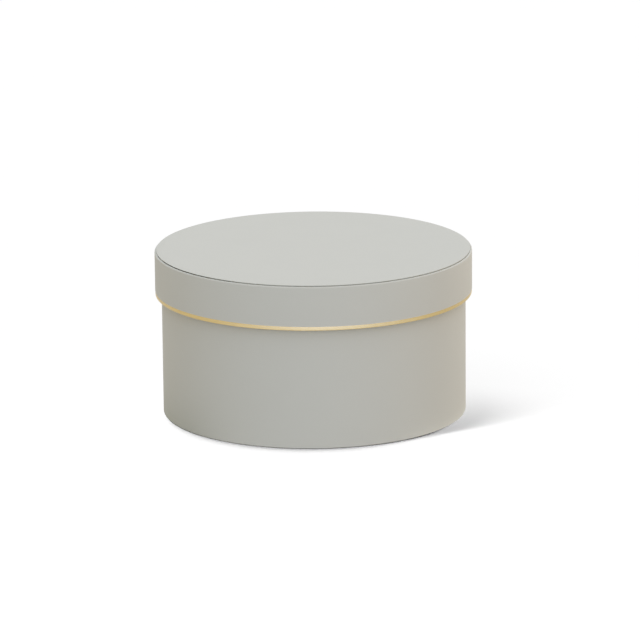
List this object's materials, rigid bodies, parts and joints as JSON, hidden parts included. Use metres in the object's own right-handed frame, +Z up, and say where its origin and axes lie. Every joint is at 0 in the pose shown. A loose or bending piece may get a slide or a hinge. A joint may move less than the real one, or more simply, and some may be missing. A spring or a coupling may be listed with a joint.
{
  "type": "round flower box",
  "caption": "Low round paper-covered gift box with a telescoping lift-off lid, for flowers or keepsakes, with a gold-coloured line round the lid's lower edge.",
  "frame": {"origin": "centre of the base's underside, on the surface the box stands on", "axes": "+Z up along the box's axis of symmetry; X and Y are alike"},
  "size_m": [0.22, 0.22, 0.115],
  "materials": {
    "cover_paper": "matte",
    "lining_paper": "matte",
    "gold_paper": "satin",
    "greyboard": "matte"
  },
  "bodies": {
    "base": {"base_tube": "greyboard", "base_disc": "greyboard", "base_wrap": "cover_paper", "base_underside_paper": "cover_paper", "base_wall_lining": "lining_paper", "base_floor_lining": "lining_paper"},
    "lid": {"lid_hoop": "greyboard", "lid_disc": "greyboard", "lid_side_wrap": "cover_paper", "lid_top_panel": "cover_paper", "gold_edge": "gold_paper", "lid_wall_lining": "lining_paper", "lid_ceiling_lining": "lining_paper"}
  },
  "joints": [
    {"name": "lid_lift", "type": "slide", "parent": "base", "child": "lid", "axis": [0, 0, 1], "range_m": [0, 0.12]}
  ]
}
